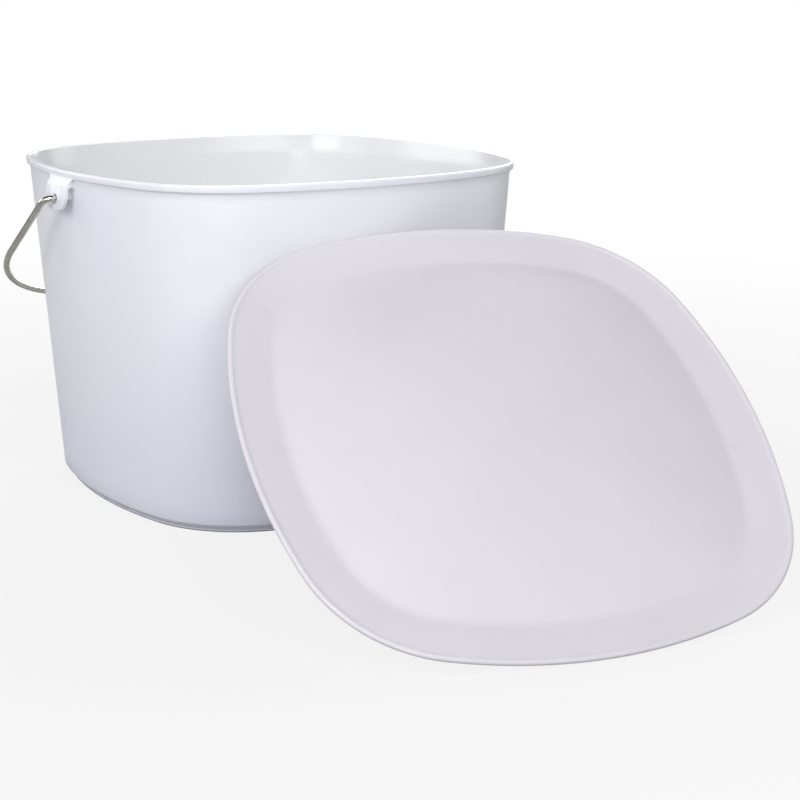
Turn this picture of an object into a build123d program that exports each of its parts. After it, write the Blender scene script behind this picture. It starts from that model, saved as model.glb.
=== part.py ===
from build123d import *
from math import asin, atan2, cos, degrees, radians, sin, sqrt
import os

# Plastic fermenting bucket: a tapered rounded-square bucket with two moulded ears, a steel wire
# bail that hangs down behind it, and a domed lid that leans on its front wall.
# Millimetres. Origin in the middle of the bucket's base, +Z up, ears on +X and -X, lid at -Y.

# ---- driving dimensions ----------------------------------------------------------------------
height = 219.5            # base to the top of the rim
rim_half = 150.0          # half the width over the rim, middle of one side to the middle of the other
rim_side_radius = 304.0   # plan radius of the four shallow sides at the rim
rim_corner_radius = 80.0  # plan radius of the four corners at the rim

wall = 2.2                # wall thickness
floor_thickness = 3.0
floor_cove = 2.5          # sloping corner where the wall meets the floor inside
foot_height = 6.0         # sloping band under the wall
foot_half = 129.2
base_half = 133.7         # wall's outer half width where it meets the foot
base_corner_radius = 75.9
neck_drop = 12.0          # the flare under the lip starts this far below the top
neck_half = 147.2
neck_curve = [(0.3, 0.5), (0.5, 1.3)]  # the flare's curve: share of neck_drop, growth of neck_half
lip_height = 4.6
lip_round = 0.7
lip_width = 2.8           # width of the rim's top edge
lip_lean = 0.5            # the lip's foot is this much inside its widest line
inner_flare_drop = 10.0   # the flare inside starts this far below the top
inner_bend = (0.6, 1.0)   # the inner flare's bend: share of its drop, distance inside the rim's edge

pivot_drop = 18.0         # bail's pivot axis, below the top of the rim
ear_half_width = 15.0
ear_drop = 25.0           # lowest point of the ear's plate, below the top
ear_face = 153.1          # outer face of the ear's plate, level with the block's underside
ear_lean = 0.12           # the plate's face moves out by this much for each millimetre down
ear_plate = 2.1           # thickness of the plate
ear_corner_radius = 10.0
ear_flare = 4.0           # the ear widens by this much, in a quarter round, where it meets the lip
ear_top = 149.9           # outer face of the ear at the lip's lower edge, level with the lip's face
ear_overlap = 2.0         # the ear runs this far up inside the lip
block_drop = 10.5         # underside of the solid block behind the plate
web_half_width = 10.5     # narrower web under the block
root = 3.0                # ears and webs start this deep inside the wall
ear_hole = 5.8

wire = 4.2                # bail wire diameter
bail_half = 161.0         # middle of the straight legs from the centre plane
bail_pin_end = 148.6      # where the wire stops inside the ear
bail_pin_gap = 0.6        # free space past each end of the wire
bail_bend_radius = 5.2
bail_leg = 73.0           # straight leg, from the pivot axis
shoulder_radius = 80.0    # bend from leg to bow
shoulder_turn = 63.0      # degrees
bail_clearance = 0.5      # between the hanging bail and the back wall

lid_half = 155.6
lid_side_radius = 309.6
lid_corner_radius = 87.0
lid_edge = 3.2            # thickness of the rolled edge
lid_edge_width = 3.4
lid_edge_round = 0.9      # bevel of the rolled edge, seen from above
lid_sheet = 2.0
flange_width = 26.4       # from the lid's edge to the crease
flange_step = 0.8         # the rolled edge stands this much above the flange
flange_drop = 4.0         # the flange dips this much towards the crease
dome_rise = 15.0          # crown of the dome above the crease
dome_steps = 8
overcut = 1.0             # cutting solids reach this far past the faces that they open
crown_share = 0.06        # size of the flat at the crown, as a share of the dome
rib_half = 146.0          # locating rib under the flange, just inside the bucket's rim
rib_width = 1.8
rib_height = 3.5
lid_tilt = 36.4           # degrees from horizontal
lid_heading = -13.1       # degrees its downhill direction is turned from -Y
lid_centre = Vector(-2.8, -277.7, 95.5)

os.makedirs("parts", exist_ok=True)


# ---- rounded-square outline ------------------------------------------------------------------
def rounded_square(half, side_radius, corner_radius):
    """Face bounded by four shallow side arcs joined by four tangent corner arcs."""
    back = side_radius - half
    slack = 8 * (side_radius - corner_radius) ** 2 - 4 * back**2
    corner = (sqrt(slack) - 2 * back) / 4
    turn = degrees(atan2(corner, corner + back))
    with BuildSketch() as face:
        with BuildLine():
            for angle in (0, 90, 180, 270):
                side_centre = Vector(-back, 0).rotate(Axis.Z, angle)
                corner_centre = Vector(corner, corner).rotate(Axis.Z, angle)
                CenterArc(side_centre, side_radius, angle - turn, 2 * turn)
                CenterArc(corner_centre, corner_radius, angle + turn, 90 - 2 * turn)
        make_face()
    return face.sketch


def stacked(outline, levels, plane=Plane.XY):
    """Solid through (offset, half width) levels, with straight sides between levels."""
    with BuildPart() as solid:
        for offset, half in levels:
            with BuildSketch(plane.offset(offset)):
                add(outline(half))
        loft(ruled=True)
    return solid.part


# ---- bucket: one moulding with its rim and two ears ------------------------------------------
wall_slope = (neck_half - base_half) / (height - neck_drop - foot_height)
pivot_z = height - pivot_drop


def wall_half(z):
    """Half width of the outer wall at height z."""
    return base_half + wall_slope * (z - foot_height)


def bucket_outline(half):
    """Outline of the bucket's outside, rounder towards the base."""
    inset = rim_half - half
    down = inset / (rim_half - base_half)
    corner_radius = rim_corner_radius + (base_corner_radius - rim_corner_radius) * down
    return rounded_square(half, rim_side_radius - inset, corner_radius)


def cavity_outline(half):
    """The same outline, one wall thickness inside."""
    inset = rim_half - half - wall
    down = inset / (rim_half - base_half)
    corner_radius = rim_corner_radius + (base_corner_radius - rim_corner_radius) * down - wall
    return rounded_square(half, rim_side_radius - inset - wall, corner_radius)


def plate_face(drop):
    """Distance of the ear plate's outer face from the centre plane, at a drop below the top."""
    return ear_face + ear_lean * (drop - block_drop)


def ear_outline():
    """The ear seen along X: flared into the lip at the top, with round lower corners."""
    low_z = height - ear_drop
    lip_z = height - lip_height
    wide = ear_half_width + ear_flare
    with BuildSketch(Plane.YZ) as outline:
        with BuildLine():
            Polyline((0, lip_z + ear_overlap), (wide, lip_z + ear_overlap), (wide, lip_z))
            CenterArc((wide, lip_z - ear_flare), ear_flare, 90, 90)
            Line((ear_half_width, lip_z - ear_flare), (ear_half_width, low_z + ear_corner_radius))
            corner = (ear_half_width - ear_corner_radius, low_z + ear_corner_radius)
            CenterArc(corner, ear_corner_radius, 0, -90)
            Line((ear_half_width - ear_corner_radius, low_z), (0, low_z))
            mirror(about=Plane.YZ)
        make_face()
    return outline.sketch


def ear(side):
    """Shoulder, plate and the block behind it, cut to the ear's outline."""
    lip_z = height - lip_height
    with BuildPart() as solid:
        with BuildSketch(Plane.XZ):
            with BuildLine():
                Polyline(
                    (side * (rim_half - root), lip_z + ear_overlap),
                    (side * (ear_top - ear_overlap / 2), lip_z + ear_overlap),
                    (side * ear_top, lip_z),
                    (side * plate_face(block_drop), height - block_drop),
                    (side * plate_face(ear_drop), height - ear_drop),
                    (side * (plate_face(ear_drop) - ear_plate), height - ear_drop),
                    (side * (plate_face(block_drop) - ear_plate), height - block_drop),
                    (side * (neck_half - root), height - block_drop),
                    close=True,
                )
            make_face()
        extrude(amount=ear_half_width + ear_flare, both=True)
        add(extrude(ear_outline(), side * 2 * rim_half, mode=Mode.PRIVATE), mode=Mode.INTERSECT)
    return solid.part


web_depth = plate_face(pivot_drop) - ear_plate / 2 - (neck_half - root)
neck_z = height - neck_drop
flare_z = height - inner_flare_drop
cove_z = floor_thickness + floor_cove
outside = stacked(
    bucket_outline,
    [
        (0, foot_half),
        (foot_height, base_half),
        (neck_z, neck_half),
        *[(neck_z + share * neck_drop, neck_half + growth) for share, growth in neck_curve],
        (height - lip_height, rim_half - lip_lean),
        (height - lip_round, rim_half),
        (height, rim_half - lip_round),
    ],
)
cavity = stacked(
    cavity_outline,
    [
        (floor_thickness, wall_half(floor_thickness) - wall - floor_cove),
        (cove_z, wall_half(cove_z) - wall),
        (flare_z, wall_half(flare_z) - wall),
        (flare_z + inner_bend[0] * inner_flare_drop, rim_half - lip_width - inner_bend[1]),
        (height, rim_half - lip_width),
    ],
)

with BuildPart() as bucket:
    add(outside)
    for side in (1, -1):
        add(ear(side))
        # narrower web under the block, down to the level of the pivot
        with BuildSketch(Plane.XY.offset(pivot_z)):
            with Locations((side * (neck_half - root + web_depth / 2), 0)):
                Rectangle(web_depth, 2 * web_half_width)
        extrude(amount=pivot_drop - block_drop)
    add(cavity, mode=Mode.SUBTRACT)
    for side in (1, -1):
        with BuildSketch(Plane.YZ.offset(side * (bail_pin_end - bail_pin_gap))):
            with Locations((0, pivot_z)):
                Circle(ear_hole / 2)
        extrude(amount=side * 2 * ear_plate + side * root, mode=Mode.SUBTRACT)

bucket.part.label = "bucket"
export_step(bucket.part, "parts/bucket.step")

# ---- bail: one bent wire, hanging back against the rear wall -----------------------------------
bow_turn = 90 - shoulder_turn
bow_start = bail_half - shoulder_radius * (1 - cos(radians(shoulder_turn)))
bow_radius = bow_start / sin(radians(bow_turn))
bail_depth = (
    bail_leg
    + shoulder_radius * sin(radians(shoulder_turn))
    + bow_radius * (1 - cos(radians(bow_turn)))
)

# the hang angle puts the middle of the bow just clear of the back wall at the height it reaches
hang = radians(55)
for _ in range(20):
    bow_z = pivot_z - bail_depth * cos(hang)
    hang = asin((wall_half(bow_z) + wire / 2 + bail_clearance) / bail_depth)
bail_down = Vector(0, sin(hang), -cos(hang))
bail_plane = Plane(origin=(0, 0, pivot_z), x_dir=(1, 0, 0), z_dir=Vector(1, 0, 0).cross(bail_down))

with BuildPart() as bail:
    with BuildLine(bail_plane) as wire_path:
        pin = Line((-bail_pin_end, 0), (bail_bend_radius - bail_half, 0))
        bend = JernArc(pin @ 1, pin % 1, bail_bend_radius, -90)
        leg = Line(bend @ 1, (-bail_half, bail_leg))
        shoulder = JernArc(leg @ 1, leg % 1, shoulder_radius, -shoulder_turn)
        bow = JernArc(shoulder @ 1, shoulder % 1, bow_radius, -2 * bow_turn)
        far_shoulder = JernArc(bow @ 1, bow % 1, shoulder_radius, -shoulder_turn)
        far_leg = Line(far_shoulder @ 1, (bail_half, bail_bend_radius))
        far_bend = JernArc(far_leg @ 1, far_leg % 1, bail_bend_radius, -90)
        Line(far_bend @ 1, (bail_pin_end, 0))
    with BuildSketch(Plane.YZ.offset(-bail_pin_end)):
        with Locations((0, pivot_z)):
            Circle(wire / 2)
    sweep()

bail.part.label = "bail"
export_step(bail.part, "parts/bail.step")

# ---- lid: dished flange and domed panel, leaning on the front wall -----------------------------
tilt, heading = radians(lid_tilt), radians(lid_heading)
lid_normal = Vector(sin(heading) * sin(tilt), -cos(heading) * sin(tilt), cos(tilt))
lid_plane = Plane(origin=lid_centre, x_dir=(cos(heading), sin(heading), 0), z_dir=lid_normal)
crease_half = lid_half - flange_width
flange_half = lid_half - lid_edge_width
crease_z = -flange_step - flange_drop
hollow_half = crease_half - lid_sheet / 2


def lid_outline(half):
    inset = lid_half - half
    return rounded_square(half, lid_side_radius - inset, lid_corner_radius - inset)


def dome_outline(half):
    """The crease's outline, scaled down towards the crown."""
    share = half / crease_half
    side_radius = (lid_side_radius - flange_width) * share
    return rounded_square(half, side_radius, (lid_corner_radius - flange_width) * share)


def dome_levels(base, half):
    """Levels of a shallow cap, from its foot to a small flat at the crown."""
    shares = [cos(radians(90 * step / dome_steps)) for step in range(dome_steps)] + [crown_share]
    return [(base + dome_rise * (1 - share**2), half * share) for share in shares]


edge_half = lid_half - lid_edge_round
disc = stacked(
    lid_outline,
    [(-lid_edge, edge_half), (-lid_edge / 2, lid_half), (0, edge_half)],
    lid_plane,
)
dish = stacked(
    lid_outline,
    [(crease_z - lid_sheet, crease_half), (-flange_step - lid_sheet, flange_half), (-overcut, flange_half)],
    lid_plane,
)
above_flange = stacked(
    lid_outline,
    [(crease_z, crease_half), (-flange_step, flange_half), (overcut, flange_half + overcut)],
    lid_plane,
)
dome = stacked(
    dome_outline,
    [(crease_z - lid_sheet, crease_half)] + dome_levels(crease_z, crease_half),
    lid_plane,
)
under_dome = stacked(
    dome_outline,
    [(crease_z - 2 * lid_sheet, hollow_half)] + dome_levels(crease_z - lid_sheet, hollow_half),
    lid_plane,
)
rib_top = -flange_step - lid_sheet
rib_foot = rib_top - rib_height
rib_outside = stacked(lid_outline, [(rib_foot, rib_half), (rib_top, rib_half)], lid_plane)
rib_inside = stacked(
    lid_outline, [(rib_foot, rib_half - rib_width), (rib_top, rib_half - rib_width)], lid_plane
)

with BuildPart() as lid:
    add(disc)
    add(dish)
    add(above_flange, mode=Mode.SUBTRACT)
    add(dome)
    add(under_dome, mode=Mode.SUBTRACT)
    add(rib_outside - rib_inside)

lid.part.label = "lid"
export_step(lid.part, "parts/lid.step")

print("bail hangs at", round(degrees(hang), 2), "degrees, depth", round(bail_depth, 2))
print("lid normal", [round(value, 4) for value in lid_normal])
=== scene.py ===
import math

import bmesh
import bpy
from mathutils import Matrix, Vector


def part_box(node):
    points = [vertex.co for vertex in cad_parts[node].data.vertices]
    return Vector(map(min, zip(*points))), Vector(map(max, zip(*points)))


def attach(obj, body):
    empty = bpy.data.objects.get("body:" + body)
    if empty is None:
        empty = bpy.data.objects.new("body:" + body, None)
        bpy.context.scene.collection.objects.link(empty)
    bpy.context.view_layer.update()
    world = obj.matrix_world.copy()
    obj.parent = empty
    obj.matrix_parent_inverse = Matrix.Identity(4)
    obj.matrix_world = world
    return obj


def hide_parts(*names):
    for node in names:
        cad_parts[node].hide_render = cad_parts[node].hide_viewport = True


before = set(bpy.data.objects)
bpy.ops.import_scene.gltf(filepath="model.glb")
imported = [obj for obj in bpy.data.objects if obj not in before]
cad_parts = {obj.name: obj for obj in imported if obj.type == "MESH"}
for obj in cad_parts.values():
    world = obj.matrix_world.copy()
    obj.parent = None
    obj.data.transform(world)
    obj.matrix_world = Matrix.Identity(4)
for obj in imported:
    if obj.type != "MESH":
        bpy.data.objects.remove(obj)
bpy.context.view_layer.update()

# Looks for the plastic fermenting bucket: bucket, wire bail and leaning lid. Metres.
# Each piece is rebuilt as a fine mesh around the frame, at the frame's sizes.

# ---- sizes -----------------------------------------------------------------------------------
MM = 0.001
_, bucket_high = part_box("bucket")
_, bail_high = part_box("bail")

HEIGHT = bucket_high.z
RIM_HALF = bucket_high.y           # the lip is the widest line on the sides without ears
RIM_SIDE_RADIUS = 304 * MM         # plan radius of the shallow sides at the rim
RIM_CORNER_RADIUS = 80 * MM
WALL = 2.2 * MM
FLOOR = 3.0 * MM
COVE = 2.5 * MM                    # where the wall meets the floor inside
FOOT_HEIGHT = 6.0 * MM
FOOT_HALF = 129.2 * MM
BASE_HALF = 133.7 * MM             # outer half width where the wall meets the foot
BASE_CORNER_RADIUS = 75.9 * MM
NECK_DROP = 12.0 * MM              # the flare starts this far below the top
NECK_HALF = 147.2 * MM
LIP_HEIGHT = 4.6 * MM
LIP_FOOT = RIM_HALF - 0.5 * MM     # half width at the lip's lower edge
LIP_WIDTH = 2.8 * MM               # width of the rim's top
LIP_ROUND = 1.5 * MM               # outer upper edge of the lip
LIP_UNDER_ROUND = 0.45 * MM        # its lower edge
LIP_INNER_ROUND = 0.7 * MM         # its inner edge
LIP_TUCK = 1.3 * MM                # the lip overhangs the neck by this much
INNER_FLARE_DROP = 14.0 * MM
BASE_RING_WIDTH = 5.0 * MM         # flat ring that the bucket stands on
BASE_RISE = 0.6 * MM               # the base's middle stands this far off the table

PIVOT_Z = HEIGHT - 18.0 * MM
EAR_HALF_WIDTH = 15.0 * MM
EAR_DROP = 25.0 * MM
EAR_LEAN = 0.12                    # the plate's face moves out by this share of the drop
EAR_PLATE = 2.1 * MM
EAR_CORNER_RADIUS = 10.0 * MM
EAR_FLARE = 4.0 * MM               # the ear widens by this much where it meets the lip
EAR_TOP = 149.65 * MM              # outer face of the ear at the lip's lower edge
EAR_OVERLAP = 2.0 * MM             # the ear runs this far up inside the lip
EAR_EDGE_ROUND = 0.45 * MM
EAR_IN_WALL = 146.0 * MM           # how near the centre plane the block starts, inside the wall
EAR_IN_LIP = 147.4 * MM            # the same for the plate's top, inside the lip
BLOCK_DROP = 10.5 * MM
EAR_FACE = bucket_high.x - EAR_LEAN * (EAR_DROP - BLOCK_DROP)
WEB_HALF_WIDTH = 10.5 * MM
BORE_RADIUS = 2.9 * MM
BORE_FLOOR = 148.0 * MM            # the bore's inner end, from the centre plane
BORE_LEAD_IN = 0.5 * MM

WIRE_RADIUS = 2.1 * MM
BAIL_HALF = bail_high.x - WIRE_RADIUS
BAIL_PIN_END = 148.6 * MM
BAIL_BEND = 5.2 * MM
BAIL_LEG = 73.0 * MM
SHOULDER_RADIUS = 80.0 * MM
SHOULDER_TURN = math.radians(63)
WIRE_END_ROUND = 0.4 * MM

LID_HALF = 155.6 * MM
LID_SIDE_RADIUS = 309.6 * MM
LID_CORNER_RADIUS = 87.0 * MM
LID_SHEET = 2.0 * MM
EDGE_THICKNESS = 3.2 * MM          # the rolled edge
EDGE_WIDTH = 3.4 * MM
FLANGE_WIDTH = 26.4 * MM
FLANGE_STEP = 0.8 * MM             # the rolled edge stands this much above the flange
FLANGE_DROP = 4.0 * MM
DOME_RISE = 15.0 * MM
RIB_HALF = 146.0 * MM
RIB_WIDTH = 1.8 * MM
RIB_FOOT = -6.3 * MM
RIB_FILLET = 0.4 * MM
CREASE_BLEND = 3.0 * MM            # the crease is rounded over this distance on each side
CREASE_LIFT = 0.3 * MM             # and lifted by this much in its middle
LID_CENTRE = Vector((-2.8, -277.7, 95.5)) * MM
LID_TILT = math.radians(36.4)
LID_HEADING = math.radians(-13.1)

SIDE_STEPS = 36                    # points along each shallow side of an outline
CORNER_STEPS = 24                  # points round each corner
WIRE_SIDES = 24
BORE_SIDES = 32


# ---- mesh helpers ----------------------------------------------------------------------------
def rounded_square(half, side_radius, corner_radius):
    """Points of the outline made of four shallow side arcs and four tangent corner arcs."""
    back = side_radius - half
    corner = (math.sqrt(8 * (side_radius - corner_radius) ** 2 - 4 * back**2) - 2 * back) / 4
    turn = math.atan2(corner, corner + back)
    points = []
    for quarter in range(4):
        facing = quarter * math.pi / 2
        spin = Matrix.Rotation(facing, 2)
        for step in range(SIDE_STEPS):
            angle = -turn + 2 * turn * step / SIDE_STEPS
            arc = Vector((math.cos(angle), math.sin(angle))) * side_radius
            points.append(spin @ (arc - Vector((back, 0))))
        for step in range(CORNER_STEPS):
            angle = turn + (math.pi / 2 - 2 * turn) * step / CORNER_STEPS
            arc = Vector((math.cos(angle), math.sin(angle))) * corner_radius
            points.append(spin @ (arc + Vector((corner, corner))))
    return points


def spread(start, end, steps):
    """Evenly spaced values from start to end, both included."""
    return [start + (end - start) * (step / steps) for step in range(steps + 1)]


def arc_points(centre, radius, start, end, steps):
    """Points (half, z) round an arc; the angles are in degrees, 0 outwards and 90 up."""
    angles = [math.radians(angle) for angle in spread(start, end, steps)]
    return [(centre[0] + radius * math.cos(a), centre[1] + radius * math.sin(a)) for a in angles]


def ring_mesh(name, rings, place=Matrix.Identity(4)):
    """Closed mesh through rings of equal point counts, each a list of 3-D points; a centre
    point closes each end."""
    mesh = bmesh.new()
    rows = [[mesh.verts.new(place @ point) for point in ring] for ring in rings]
    count = len(rows[0])
    for below, above in zip(rows, rows[1:]):
        for i in range(count):
            j = (i + 1) % count
            mesh.faces.new((below[i], below[j], above[j], above[i]))
    for row, flip in ((rows[0], True), (rows[-1], False)):
        centre = mesh.verts.new(sum((vert.co for vert in row), Vector()) / count)
        for i in range(count):
            j = (i + 1) % count
            face = (row[i], row[j], centre)
            mesh.faces.new(face[::-1] if flip else face)
    bmesh.ops.recalc_face_normals(mesh, faces=mesh.faces)
    return mesh_object(name, mesh)


def new_object(name, data):
    piece = bpy.data.objects.new(name, data)
    bpy.context.scene.collection.objects.link(piece)
    return piece


def mesh_object(name, mesh):
    """New object from a working mesh, which is freed."""
    data = bpy.data.meshes.new(name)
    mesh.to_mesh(data)
    mesh.free()
    return new_object(name, data)


def apply_modifier(piece, kind, **settings):
    """Adds a modifier to a piece and applies it."""
    modifier = piece.modifiers.new(kind.lower(), kind)
    for key, value in settings.items():
        setattr(modifier, key, value)
    bpy.context.view_layer.update()
    evaluated = piece.evaluated_get(bpy.context.evaluated_depsgraph_get())
    data = bpy.data.meshes.new_from_object(evaluated)
    piece.modifiers.clear()
    old = piece.data
    piece.data = data
    bpy.data.meshes.remove(old)


def combine(piece, other, operation):
    """Joins other to piece, or cuts it away, and removes other."""
    apply_modifier(piece, "BOOLEAN", operation=operation, solver="EXACT", object=other)
    bpy.data.objects.remove(other)


def finish_surface(piece, material, crease_angle):
    """Smooth shading with creases over the given angle in degrees, and the material."""
    piece.data.shade_smooth()
    piece.data.set_sharp_from_angle(angle=math.radians(crease_angle))
    piece.data.materials.clear()
    piece.data.materials.append(material)


def stand_for(piece, node):
    """The piece rides with a body and replaces the frame's node of that name, which is hidden."""
    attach(piece, node)
    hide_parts(node)


# ---- material helpers ------------------------------------------------------------------------
class Nodes:
    """Short way to add and join a material's shader nodes; place is the point on the object."""

    def __init__(self, name):
        self.material = bpy.data.materials.new(name)
        self.material.use_nodes = True
        self.tree = self.material.node_tree
        self.shader = self.tree.nodes["Principled BSDF"]
        self.place = self.add("ShaderNodeTexCoord").outputs["Object"]

    def add(self, kind, **inputs):
        node = self.tree.nodes.new(kind)
        for key, value in inputs.items():
            if hasattr(node, key):
                setattr(node, key, value)
            else:
                self.feed(value, node.inputs[key.replace("_", " ")])
        return node

    def feed(self, value, socket):
        if isinstance(value, bpy.types.NodeSocket):
            self.tree.links.new(value, socket)
        else:
            socket.default_value = value

    def noise(self, scale, detail=2.0, roughness=0.5, vector=None):
        node = self.add("ShaderNodeTexNoise")
        self.feed(vector or self.place, node.inputs["Vector"])
        self.feed(scale, node.inputs["Scale"])
        self.feed(detail, node.inputs["Detail"])
        self.feed(roughness, node.inputs["Roughness"])
        return node.outputs["Fac"]

    def remap(self, value, low, high, to_low, to_high):
        """Value brought from the range low to high into to_low to to_high, and kept in it."""
        node = self.add("ShaderNodeMapRange")
        for key, item in zip(("Value", "From Min", "From Max", "To Min", "To Max"),
                             (value, low, high, to_low, to_high)):
            self.feed(item, node.inputs[key])
        return node.outputs["Result"]

    def math(self, operation, first, second=0.0):
        node = self.add("ShaderNodeMath", operation=operation)
        self.feed(first, node.inputs[0])
        self.feed(second, node.inputs[1])
        return node.outputs[0]

    def vector_math(self, operation, first, second=(0.0, 0.0, 0.0)):
        node = self.add("ShaderNodeVectorMath", operation=operation)
        self.feed(first, node.inputs[0])
        self.feed(second, node.inputs[1])
        return node.outputs["Value"]

    def mix(self, share, first, second, data_type="RGBA"):
        """Colour, or value with data_type FLOAT, between first and second."""
        node = self.add("ShaderNodeMix", data_type=data_type)
        self.feed(share, node.inputs["Factor"])
        self.feed(first, node.inputs["A"])
        self.feed(second, node.inputs["B"])
        return node.outputs["Result"]

    def bump(self, height, distance, strength=1.0, normal=None):
        node = self.add("ShaderNodeBump")
        self.feed(height, node.inputs["Height"])
        self.feed(distance, node.inputs["Distance"])
        self.feed(strength, node.inputs["Strength"])
        if normal is not None:
            self.feed(normal, node.inputs["Normal"])
        return node.outputs["Normal"]

    def set(self, **values):
        for key, value in values.items():
            self.feed(value, self.shader.inputs[key.replace("_", " ")])

    def set_plastic(self, colour, rough, normal, scatter):
        """Plastic with the given share of light scattered under its surface."""
        self.set(Base_Color=colour, Roughness=rough, Normal=normal, IOR=PLASTIC_IOR,
                 Subsurface_Weight=scatter, Subsurface_Scale=SCATTER_DEPTH,
                 Subsurface_Radius=SCATTER_SPREAD)


def tone(red, green, blue):
    """Opaque colour, as shader sockets take it."""
    return (red, green, blue, 1.0)


# ---- materials -------------------------------------------------------------------------------
PLASTIC_IOR = 1.49
SCATTER_DEPTH = 0.004               # how far light spreads inside the plastic
SCATTER_SPREAD = (1.0, 1.0, 1.0)    # the same for all colours


def bucket_plastic():
    """Satin white polypropylene: cool tint, faint flow mottling, wavy walls and a scuffed foot,
    with painted shade darker and bluer towards the foot, a painted contact shadow along the foot's
    lower edge, and a glossier, plainer inside painted darker as shade."""
    painted_shade_top, scuff_top = 0.15, 0.03            # heights where the painted shade towards the foot and the scuffs end
    contact_shadow_full, contact_shadow_top = 0.0006, 0.0010
    m = Nodes("bucket_plastic")
    height = m.add("ShaderNodeSeparateXYZ", Vector=m.place).outputs["Z"]
    # 1 on faces that look away from the middle, 0 inside the bucket
    normal = m.add("ShaderNodeTexCoord").outputs["Normal"]
    outwards = m.remap(m.vector_math("DOT_PRODUCT", m.place, normal), 0.01, 0.04, 0.0, 1.0)
    mottle = m.remap(m.noise(14, 4, 0.6), 0.3, 0.7, 0.0, 1.0)
    cool = m.remap(m.noise(7, 2, 0.5), 0.35, 0.65, 0.0, 1.0)
    plain = m.mix(mottle, tone(0.818, 0.828, 0.874), tone(0.838, 0.848, 0.892))
    bluish = m.mix(mottle, tone(0.802, 0.812, 0.894), tone(0.822, 0.832, 0.910))
    # painted shade: the outer wall turns darker and bluer towards the foot
    painted_shade_towards_foot = m.remap(height, 0.0, painted_shade_top, 0.8, 0.0)
    outer = m.mix(painted_shade_towards_foot, m.mix(cool, plain, bluish), tone(0.742, 0.764, 0.880))
    # painted shade: the inside takes a darker, greyer copy of the plastic's colour than the
    # outside
    inner_with_painted_shade = m.mix(mottle, tone(0.786, 0.790, 0.812), tone(0.800, 0.804, 0.826))
    body = m.mix(outwards, inner_with_painted_shade, outer)
    low_down = m.math("MULTIPLY", m.remap(height, 0.0, scuff_top, 1.0, 0.0), outwards)
    scuff = m.math("MULTIPLY", low_down, m.remap(m.noise(90, 6, 0.7), 0.45, 0.75, 0.0, 0.4))
    worn = m.mix(scuff, body, tone(0.66, 0.66, 0.68))
    # painted contact shadow: a near-black band along the foot's lowest millimetre, fading out
    # towards 1 mm up
    painted_contact_shadow = m.remap(height, contact_shadow_full, contact_shadow_top, 0.85, 0.0)
    colour = m.mix(painted_contact_shadow, worn, tone(0.16, 0.16, 0.15))
    satin = m.remap(m.noise(35, 5, 0.65), 0.3, 0.7, 0.30, 0.42)
    polish = m.remap(m.noise(50, 4, 0.6), 0.3, 0.7, 0.15, 0.20)
    rough = m.math("ADD", m.mix(outwards, polish, satin, "FLOAT"), m.math("MULTIPLY", scuff, 0.25))
    waves = m.bump(m.noise(9, 1, 0.4), 0.0012, 0.35)
    grain = m.bump(m.noise(1400, 2, 0.5), 0.00002, 0.35, waves)
    m.set_plastic(colour, rough, grain, 0.35)
    return m.material


def lid_plastic():
    """Fine matte-textured polypropylene with a lavender cast and a few faint smudges."""
    m = Nodes("lid_plastic")
    mottle = m.remap(m.noise(18, 4, 0.6), 0.3, 0.7, 0.0, 1.0)
    body = m.mix(mottle, tone(0.670, 0.650, 0.706), tone(0.690, 0.669, 0.724))
    cells = m.add("ShaderNodeTexVoronoi", Vector=m.place, Scale=11.0, Randomness=1.0)
    smudge = m.remap(cells.outputs["Distance"], 0.005, 0.03, 0.13, 0.0)
    colour = m.mix(smudge, body, tone(0.30, 0.27, 0.26))
    rough = m.remap(m.noise(60, 5, 0.65), 0.3, 0.7, 0.46, 0.58)
    waves = m.bump(m.noise(8, 1, 0.4), 0.0008, 0.3)
    grain = m.bump(m.noise(2200, 3, 0.6), 0.00004, 0.5, waves)
    m.set_plastic(colour, rough, grain, 0.10)
    return m.material


def steel_wire():
    """Galvanised drawn wire: bright zinc, faintly mottled, with die lines along its length."""
    m = Nodes("steel_wire")
    lay = m.add("ShaderNodeUVMap", uv_map="wire").outputs["UV"]
    stretch = m.add("ShaderNodeMapping", Vector=lay, Scale=(30.0, 2600.0, 1.0)).outputs["Vector"]
    lines = m.noise(1.0, 3, 0.6, stretch)
    zinc = m.noise(260, 4, 0.6)
    patches = m.remap(zinc, 0.35, 0.65, 0.0, 1.0)
    colour = m.mix(patches, tone(0.56, 0.54, 0.475), tone(0.70, 0.68, 0.60))
    rough = m.math("ADD", m.remap(zinc, 0.3, 0.7, 0.08, 0.14), m.math("MULTIPLY", lines, 0.05))
    drawn = m.bump(lines, 0.00003, 0.4)
    pits = m.bump(zinc, 0.00003, 0.2, drawn)
    m.set(Base_Color=colour, Metallic=1.0, Roughness=rough, Normal=pits)
    return m.material


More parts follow.
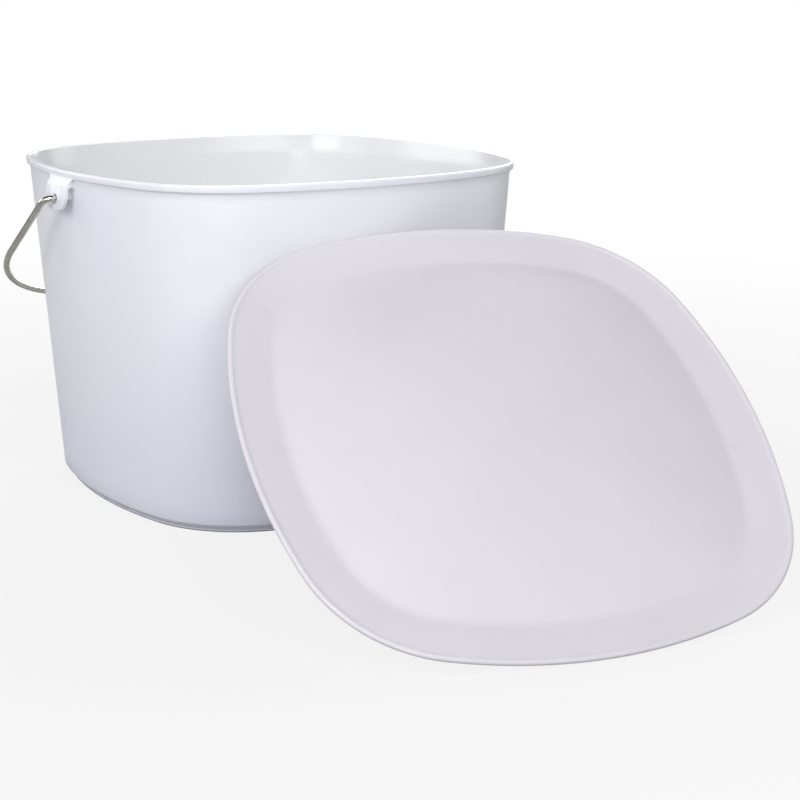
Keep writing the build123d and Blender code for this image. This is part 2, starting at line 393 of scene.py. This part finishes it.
def studio_floor():
    """Pale seamless paper. To the camera it is lit up and fades to plain white away from the
    middle; on the object only a patch of it behind the object glows, softly."""
    near, far, near_share = 0.30, 1.1, 0.84     # from the middle of the object, and its glow there
    patch, patch_full, patch_end, patch_share = (0.0, 0.85, 0.0), 0.45, 0.75, 0.35
    m = Nodes("studio_floor")
    fibre = m.remap(m.noise(700, 3, 0.6), 0.3, 0.7, 0.0, 1.0)
    paper = m.mix(fibre, tone(0.37, 0.37, 0.375), tone(0.39, 0.39, 0.395))
    m.set(Base_Color=paper, Roughness=0.9, Specular_IOR_Level=0.1)
    share = m.remap(m.vector_math("LENGTH", m.place), near, far, near_share, 1.0)
    seen = m.math("MULTIPLY", share, m.add("ShaderNodeLightPath").outputs["Is Camera Ray"])
    behind = m.vector_math("DISTANCE", m.place, patch)
    lit = m.math("MAXIMUM", seen, m.remap(behind, patch_full, patch_end, patch_share, 0.0))
    glow = m.add("ShaderNodeEmission", Color=tone(1.0, 1.0, 1.0), Strength=1.0)
    mixed = m.add("ShaderNodeMixShader")
    m.feed(lit, mixed.inputs[0])
    m.feed(m.shader.outputs[0], mixed.inputs[1])
    m.feed(glow.outputs[0], mixed.inputs[2])
    m.feed(mixed.outputs[0], m.tree.nodes["Material Output"].inputs["Surface"])
    return m.material


# ---- bucket ----------------------------------------------------------------------------------
WALL_SLOPE = (NECK_HALF - BASE_HALF) / (HEIGHT - NECK_DROP - FOOT_HEIGHT)


def wall_half(z):
    """Half width of the outer wall at height z."""
    return BASE_HALF + WALL_SLOPE * (z - FOOT_HEIGHT)


def plate_face(drop):
    """Distance of the ear plate's outer face from the centre plane, at a drop below the top."""
    return EAR_FACE + EAR_LEAN * (drop - BLOCK_DROP)


def bucket_ring(half, z, depth=0.0, share=1.0):
    """Ring of the bucket at height z; depth is how far it is inside the outer surface."""
    inset = RIM_HALF - half - depth
    down = inset / (RIM_HALF - BASE_HALF)
    corner_radius = RIM_CORNER_RADIUS + (BASE_CORNER_RADIUS - RIM_CORNER_RADIUS) * down - depth
    outline = rounded_square(half, RIM_SIDE_RADIUS - inset - depth, corner_radius)
    return [Vector((point.x * share, point.y * share, z)) for point in outline]


def bucket_outside():
    """Half widths and heights from the base's edge to the rim's outer corner."""
    foot_round = 0.5 * MM
    foot_edge = FOOT_HALF + 0.35 * MM
    bead_top = 1.7 * MM             # narrow upright edge under the foot's bevel
    bevel_half, bevel_top = BASE_HALF - 0.25 * MM, FOOT_HEIGHT - 0.4 * MM
    neck_z = HEIGHT - NECK_DROP
    lip_z = HEIGHT - LIP_HEIGHT
    points = arc_points((foot_edge - foot_round, foot_round), foot_round, -90, 0, 5)
    points += [(foot_edge + (bevel_half - foot_edge) * share,
                bead_top + (bevel_top - bead_top) * share)
               for share in (0.0, 0.06, 0.5, 0.9, 1.0)]
    points += [(wall_half(z), z) for z in spread(FOOT_HEIGHT + 0.3 * MM, neck_z, 24)]
    points += [(NECK_HALF + (LIP_FOOT - LIP_TUCK - NECK_HALF) * share**2.2,
                neck_z + (lip_z - neck_z) * share)
               for share in spread(0.1, 1.0, 9)]
    under_centre = (LIP_FOOT - LIP_UNDER_ROUND, lip_z + LIP_UNDER_ROUND)
    points += arc_points(under_centre, LIP_UNDER_ROUND, -90, 0, 5)
    points += arc_points((RIM_HALF - LIP_ROUND, HEIGHT - LIP_ROUND), LIP_ROUND, 0, 90, 6)
    return points


def bucket_inside():
    """Half widths and heights from the rim's inner corner down to the floor's edge."""
    flare_z = HEIGHT - INNER_FLARE_DROP
    round_z = HEIGHT - LIP_INNER_ROUND
    top_half, low_half = RIM_HALF - LIP_WIDTH, wall_half(flare_z) - WALL
    points = arc_points((top_half + LIP_INNER_ROUND, round_z), LIP_INNER_ROUND, 90, 180, 4)
    points += [(low_half + (top_half - low_half) * (1 - share) ** 1.2,
                round_z - (INNER_FLARE_DROP - LIP_INNER_ROUND) * share)
               for share in spread(0.08, 1.0, 10)]
    cove_z = FLOOR + COVE
    points += [(wall_half(z) - WALL, z) for z in spread(flare_z - 4 * MM, cove_z, 22)]
    cove_centre = (wall_half(cove_z) - WALL - COVE, cove_z)
    points += arc_points(cove_centre, COVE, 0, -90, 7)[1:]
    return points


def bucket_body():
    """The moulding without its ears."""
    outside, inside = bucket_outside(), bucket_inside()
    ring_inside = outside[0][0] - BASE_RING_WIDTH
    floor_edge = inside[-1][0]
    rings = [bucket_ring(ring_inside - 1 * MM, BASE_RISE, 0, share)
             for share in (0.02, 0.25, 0.5, 0.75, 0.95, 1.0)]
    rings.append(bucket_ring(ring_inside, 0.1 * MM))
    rings.append(bucket_ring(ring_inside + 0.3 * MM, 0))
    rings += [bucket_ring(half, z) for half, z in outside]
    rings += [bucket_ring(half, z, WALL) for half, z in inside]
    rings += [bucket_ring(floor_edge, FLOOR, WALL, share)
              for share in (0.97, 0.85, 0.6, 0.35, 0.12, 0.02)]
    return ring_mesh("bucket_moulding", rings)


def prism(name, profile, place, start, end, steps=1):
    """Solid with a flat profile, from start to end along the third axis; place maps
    (first, second, along) to a point."""
    mesh = bmesh.new()
    rows = [[mesh.verts.new(place(first, second, along)) for first, second in profile]
            for along in spread(start, end, steps)]
    count = len(profile)
    for near, far in zip(rows, rows[1:]):
        for i in range(count):
            j = (i + 1) % count
            mesh.faces.new((near[i], near[j], far[j], far[i]))
    mesh.faces.new(rows[0])
    mesh.faces.new(rows[-1][::-1])
    bmesh.ops.recalc_face_normals(mesh, faces=mesh.faces)
    return mesh_object(name, mesh)


def ear_outline():
    """The ear seen along X: flared into the lip at the top, with round lower corners."""
    low_z, lip_z = HEIGHT - EAR_DROP, HEIGHT - LIP_HEIGHT
    wide = EAR_HALF_WIDTH + EAR_FLARE
    half = [(0.0, lip_z + EAR_OVERLAP), (wide, lip_z + EAR_OVERLAP)]
    half += arc_points((wide, lip_z - EAR_FLARE), EAR_FLARE, 90, 180, 6)
    corner = (EAR_HALF_WIDTH - EAR_CORNER_RADIUS, low_z + EAR_CORNER_RADIUS)
    half += arc_points(corner, EAR_CORNER_RADIUS, 0, -90, 10)
    half.append((0.0, low_z))
    return half + [(-y, z) for y, z in half[-2:0:-1]]


def ear(side):
    """Plate, block and web of one ear, overlapping the wall and the lip."""
    # share of the way down from the lip to the block's underside, share of the way outwards
    shoulder = [(0.0, 0.0), (0.2, 0.1), (0.4, 0.32), (0.6, 0.62), (0.8, 0.86)]
    lip_z, block_z, low_z = HEIGHT - LIP_HEIGHT, HEIGHT - BLOCK_DROP, HEIGHT - EAR_DROP
    low_face, block_face = plate_face(EAR_DROP), plate_face(BLOCK_DROP)
    profile = [
        (EAR_IN_LIP, lip_z + EAR_OVERLAP),
        (EAR_TOP - 0.15 * MM, lip_z + EAR_OVERLAP),
        *[(EAR_TOP + out * (block_face - EAR_TOP), lip_z - down * (BLOCK_DROP - LIP_HEIGHT))
          for down, out in shoulder],
        (block_face, block_z),
        (low_face, low_z),
        (low_face - EAR_PLATE, low_z),
        (block_face - EAR_PLATE, block_z),
        (EAR_IN_WALL, block_z),
    ]
    wide = EAR_HALF_WIDTH + EAR_FLARE + 1 * MM
    # the ear follows the plan curve of the rim
    plate = prism("plate", profile,
                  lambda x, z, y: (side * (x - y**2 / (2 * RIM_SIDE_RADIUS)), y, z),
                  -wide, wide, 16)
    outline = prism("outline", ear_outline(), lambda y, z, x: (side * x, y, z),
                    0.9 * RIM_HALF, 1.1 * RIM_HALF)
    combine(plate, outline, "INTERSECT")
    web_in = EAR_IN_WALL - 0.4 * MM
    web_face = plate_face(HEIGHT - PIVOT_Z) - EAR_PLATE / 2
    web_top = block_z + 1 * MM
    web_profile = [(web_in, web_top), (web_face, web_top), (web_face, PIVOT_Z), (web_in, PIVOT_Z)]
    web = prism("web", web_profile, lambda x, z, y: (side * x, y, z),
                -WEB_HALF_WIDTH, WEB_HALF_WIDTH)
    combine(plate, web, "UNION")
    apply_modifier(plate, "BEVEL", width=EAR_EDGE_ROUND, segments=3, limit_method="ANGLE",
                   angle_limit=math.radians(40))
    return plate


def bore(side):
    """Cutter for the blind hole that the bail's pin turns in, with a small lead-in."""
    face = plate_face(HEIGHT - PIVOT_Z)
    wide_radius = BORE_RADIUS + BORE_LEAD_IN
    levels = [
        (BORE_FLOOR, BORE_RADIUS), (face - BORE_LEAD_IN, BORE_RADIUS),
        (face + 0.05 * MM, wide_radius), (face + 4 * MM, wide_radius),
    ]
    angles = [2 * math.pi * step / BORE_SIDES for step in range(BORE_SIDES)]
    rings = [[Vector((side * x, radius * math.cos(a), PIVOT_Z + radius * math.sin(a)))
              for a in angles] for x, radius in levels]
    return ring_mesh("bore", rings)


def build_bucket(material):
    body = bucket_body()
    for side in (1, -1):
        combine(body, ear(side), "UNION")
        combine(body, bore(side), "DIFFERENCE")
    finish_surface(body, material, crease_angle=32)
    stand_for(body, "bucket")


# ---- bail ------------------------------------------------------------------------------------
def bail_path():
    """Centre line of the bent wire in its own plane: distance along X and distance from the
    pivot axis."""
    bow_turn = math.pi / 2 - SHOULDER_TURN
    bow_start = BAIL_HALF - SHOULDER_RADIUS * (1 - math.cos(SHOULDER_TURN))
    bow_radius = bow_start / math.sin(bow_turn)
    shoulder_end = BAIL_LEG + SHOULDER_RADIUS * math.sin(SHOULDER_TURN)
    half = [(-x, 0.0) for x in spread(BAIL_PIN_END, BAIL_HALF - BAIL_BEND, 4)]
    for turn in spread(0.0, math.pi / 2, 12)[1:]:
        half.append((-(BAIL_HALF - BAIL_BEND + BAIL_BEND * math.sin(turn)),
                     BAIL_BEND * (1 - math.cos(turn))))
    half += [(-BAIL_HALF, down) for down in spread(BAIL_BEND, BAIL_LEG, 30)[1:]]
    for turn in spread(0.0, SHOULDER_TURN, 44)[1:]:
        half.append((-(BAIL_HALF - SHOULDER_RADIUS * (1 - math.cos(turn))),
                     BAIL_LEG + SHOULDER_RADIUS * math.sin(turn)))
    for turn in spread(0.0, bow_turn, 48)[1:]:
        half.append((-bow_radius * math.sin(bow_turn - turn),
                     shoulder_end + bow_radius * (math.cos(bow_turn - turn) - math.cos(bow_turn))))
    return half + [(-x, down) for x, down in half[-2::-1]]


def build_bail(material):
    """Round wire swept along its path, hanging against the back wall, with its length in UV."""
    path = bail_path()
    depth = max(down for _, down in path)
    hang = math.asin((bail_high.y - WIRE_RADIUS) / depth)
    down_hill = Vector((0, math.sin(hang), -math.cos(hang)))
    centre_line = [Vector((x, 0, PIVOT_Z)) + down_hill * down for x, down in path]
    across = Vector((1, 0, 0)).cross(down_hill).normalized()
    last = len(centre_line) - 1
    mesh = bmesh.new()
    uv = mesh.loops.layers.uv.new("wire")
    rows = []
    lengths = []
    travelled = 0.0
    for i, point in enumerate(centre_line):
        before, after = centre_line[max(i - 1, 0)], centre_line[min(i + 1, last)]
        sideways = (after - before).normalized().cross(across).normalized()
        radius = WIRE_RADIUS - WIRE_END_ROUND if i in (0, last) else WIRE_RADIUS
        row = []
        for step in range(WIRE_SIDES):
            angle = 2 * math.pi * step / WIRE_SIDES
            offset = (across * math.cos(angle) + sideways * math.sin(angle)) * radius
            row.append(mesh.verts.new(point + offset))
        rows.append(row)
        travelled += (point - before).length
        lengths.append(travelled)
    round_step = 2 * math.pi * WIRE_RADIUS / WIRE_SIDES
    for i, (near, far) in enumerate(zip(rows, rows[1:])):
        for step in range(WIRE_SIDES):
            turn = (step + 1) % WIRE_SIDES
            face = mesh.faces.new((near[step], near[turn], far[turn], far[step]))
            corners = ((i, step), (i, step + 1), (i + 1, step + 1), (i + 1, step))
            for loop, (row_index, side_step) in zip(face.loops, corners):
                loop[uv].uv = (lengths[row_index], side_step * round_step)
    mesh.faces.new(rows[0][::-1])
    mesh.faces.new(rows[-1])
    bmesh.ops.recalc_face_normals(mesh, faces=mesh.faces)
    piece = mesh_object("bail_wire", mesh)
    finish_surface(piece, material, crease_angle=50)
    stand_for(piece, "bail")


# ---- lid -------------------------------------------------------------------------------------
CREASE_HALF = LID_HALF - FLANGE_WIDTH
FLANGE_HALF = LID_HALF - EDGE_WIDTH
CREASE_Z = -FLANGE_STEP - FLANGE_DROP


def lid_ring(half, z):
    """Ring of the lid, scaled towards the middle inside the crease."""
    if half >= CREASE_HALF:
        inset = LID_HALF - half
        outline = rounded_square(half, LID_SIDE_RADIUS - inset, LID_CORNER_RADIUS - inset)
    else:
        share = half / CREASE_HALF
        outline = rounded_square(half, (LID_SIDE_RADIUS - FLANGE_WIDTH) * share,
                                 (LID_CORNER_RADIUS - FLANGE_WIDTH) * share)
    return [Vector((point.x, point.y, z)) for point in outline]


def lid_top(half):
    """Height of the lid's upper face, with the crease rounded."""
    if half >= CREASE_HALF:
        z = CREASE_Z + FLANGE_DROP * (half - CREASE_HALF) / (FLANGE_HALF - CREASE_HALF)
    else:
        z = CREASE_Z + DOME_RISE * (1 - (half / CREASE_HALF) ** 2)
    away = abs(half - CREASE_HALF) / CREASE_BLEND
    lift = CREASE_LIFT * (1 - away) ** 2 if away < 1 else 0.0
    return z + lift


def lid_under(half):
    """Height of the sheet's lower face."""
    return lid_top(half) - LID_SHEET


def rolled_edge():
    """Half widths and heights from a short concave run-up, round the rolled edge to its foot."""
    middle = (LID_HALF - EDGE_WIDTH / 2 - 0.12 * MM, -EDGE_THICKNESS / 2)
    points = [(FLANGE_HALF - 0.4 * MM, -FLANGE_STEP + 0.02 * MM),
              (FLANGE_HALF + 0.1 * MM, -FLANGE_STEP + 0.25 * MM)]
    for angle in spread(125, -90, 16):
        a = math.radians(angle)
        points.append((middle[0] + EDGE_WIDTH / 2 * math.cos(a),
                       middle[1] + EDGE_THICKNESS / 2 * math.sin(a)))
    return points + [(FLANGE_HALF, -FLANGE_STEP - LID_SHEET)]


def locating_rib():
    """Half widths and heights of the rib under the lid, from its outer side to its inner."""
    inside = RIB_HALF - RIB_WIDTH
    slight = 0.1 * MM
    chamfer = 0.5 * MM
    return [
        (RIB_HALF + RIB_FILLET, lid_under(RIB_HALF)),
        (RIB_HALF, lid_under(RIB_HALF) - RIB_FILLET),
        (RIB_HALF - slight, RIB_FOOT + RIB_FILLET),
        (RIB_HALF - chamfer, RIB_FOOT),
        (inside + chamfer, RIB_FOOT),
        (inside + slight, RIB_FOOT + RIB_FILLET),
        (inside, lid_under(inside) - RIB_FILLET),
        (inside - RIB_FILLET, lid_under(inside)),
    ]


def build_lid(material):
    dome = [CREASE_HALF * share for share in (0.015, 0.06, 0.12, 0.2, 0.28, 0.36, 0.44, 0.52, 0.6,
                                              0.68, 0.76, 0.83, 0.89, 0.93, 0.96)]
    steps_out = (0.4, 0.9, 1.5, 2.2, 3.0)       # from the crease, in millimetres
    crease = [CREASE_HALF - out * MM for out in reversed(steps_out)]
    crease += [CREASE_HALF] + [CREASE_HALF + out * MM for out in steps_out]
    flange = spread(CREASE_HALF + 5 * MM, FLANGE_HALF - 1.2 * MM, 8)
    points = [(half, lid_top(half)) for half in dome + crease + flange]
    points += rolled_edge() + locating_rib()
    points += [(half, lid_under(half)) for half in reversed(dome + crease + flange[:4])]
    rings = [lid_ring(half, z) for half, z in points]
    turn = Matrix.Rotation(LID_HEADING, 4, "Z") @ Matrix.Rotation(LID_TILT, 4, "X")
    piece = ring_mesh("lid_moulding", rings, Matrix.Translation(LID_CENTRE) @ turn)
    finish_surface(piece, material, crease_angle=40)
    stand_for(piece, "lid")


# ---- stage, light and camera -----------------------------------------------------------------
CAMERA_AZIMUTH = math.radians(-33.79)
CAMERA_ELEVATION = math.radians(14.03)
CAMERA_ROLL = math.radians(-0.25)
CAMERA_DISTANCE = 1.18
CAMERA_LENS = 77.18
CAMERA_AIM = Vector((0.0, 0.0, 0.13))
CAMERA_OFFSET = (0.090, -0.0773)    # sideways and upwards, from the line through the aim
SENSOR_WIDTH = 36.0                 # millimetres, like the lens
LIGHT_AIM = Vector((0.0, -0.12, 0.12))
LIGHT_DISTANCE = 1.8
ROOM_LIGHT = 0.02                   # the white surround's strength on the object


def direction(azimuth, elevation):
    """Unit vector towards an azimuth and elevation; azimuth 0 is in front (-Y), 90 deg at +X."""
    level = math.cos(elevation)
    return Vector((math.sin(azimuth) * level, -math.cos(azimuth) * level, math.sin(elevation)))


def build_stage():
    """Pale floor that curves up into a backdrop far behind the object."""
    reach, depth, wall_top, bend = 8.0, 5.0, 6.0, 1.5
    profile = [(-depth, 0.0), (depth - bend, 0.0)]
    profile += [(depth - bend + bend * math.sin(a), bend - bend * math.cos(a))
                for a in spread(0.0, math.pi / 2, 16)[1:]]
    profile.append((depth, wall_top))
    mesh = bmesh.new()
    rows = [[mesh.verts.new((x, y, z)) for y, z in profile] for x in (-reach, reach)]
    for i in range(len(profile) - 1):
        mesh.faces.new((rows[0][i], rows[1][i], rows[1][i + 1], rows[0][i + 1]))
    floor = mesh_object("studio_sweep", mesh)
    floor.rotation_euler = (0, 0, CAMERA_AZIMUTH)
    floor.data.shade_smooth()
    floor.data.materials.append(studio_floor())


def softbox(name, azimuth, elevation, power, size=1.0):
    """Square soft light aimed at the object, with its place given in degrees."""
    back = direction(math.radians(azimuth), math.radians(elevation))
    data = bpy.data.lights.new(name, "AREA")
    data.shape = "SQUARE"
    data.size = size
    data.energy = power
    lamp = new_object(name, data)
    lamp.location = LIGHT_AIM + back * LIGHT_DISTANCE
    lamp.rotation_euler = back.to_track_quat("Z", "Y").to_euler()


def build_lights():
    """Ring of softboxes, strongest from the front left and from behind on the right."""
    softbox("key_left", -65, 30, 14.2)
    softbox("key_front", 0, 30, 9.6)
    softbox("top", -33, 57, 9.8)
    softbox("strip_front", -30, 8, 3.9, 0.6)
    softbox("strip_left", -100, 18, 3.4)
    softbox("low_right", 80, 10, 6.0)
    softbox("back_right", 140, 30, 18)
    softbox("back_right_low", 140, 6, 8)
    softbox("back_left", -150, 18, 9)
    world = bpy.data.worlds.new("studio")
    world.use_nodes = True
    nodes, links = world.node_tree.nodes, world.node_tree.links
    dim = nodes["Background"]
    dim.inputs["Color"].default_value = tone(0.97, 0.98, 1.0)
    dim.inputs["Strength"].default_value = ROOM_LIGHT
    seen = nodes.new("ShaderNodeBackground")
    seen.inputs["Color"].default_value = tone(1.0, 1.0, 1.0)
    mixed = nodes.new("ShaderNodeMixShader")
    links.new(nodes.new("ShaderNodeLightPath").outputs["Is Camera Ray"], mixed.inputs[0])
    links.new(dim.outputs[0], mixed.inputs[1])
    links.new(seen.outputs[0], mixed.inputs[2])
    links.new(mixed.outputs[0], nodes["World Output"].inputs["Surface"])
    bpy.context.scene.world = world
    bpy.context.scene.view_settings.view_transform = "Standard"


def build_camera():
    back = direction(CAMERA_AZIMUTH, CAMERA_ELEVATION)
    right = Vector((math.cos(CAMERA_AZIMUTH), math.sin(CAMERA_AZIMUTH), 0))
    up = back.cross(right)
    data = bpy.data.cameras.new("camera")
    data.lens = CAMERA_LENS
    data.sensor_width = SENSOR_WIDTH
    data.clip_start = 0.01
    camera = new_object("camera", data)
    turned_right = right * math.cos(CAMERA_ROLL) - up * math.sin(CAMERA_ROLL)
    turned_up = right * math.sin(CAMERA_ROLL) + up * math.cos(CAMERA_ROLL)
    place = CAMERA_AIM + right * CAMERA_OFFSET[0] + up * CAMERA_OFFSET[1] + back * CAMERA_DISTANCE
    axes = Matrix((turned_right, turned_up, back)).transposed()
    camera.matrix_world = Matrix.Translation(place) @ axes.to_4x4()
    bpy.context.scene.camera = camera


build_bucket(bucket_plastic())
build_bail(steel_wire())
build_lid(lid_plastic())
build_stage()
build_lights()
build_camera()
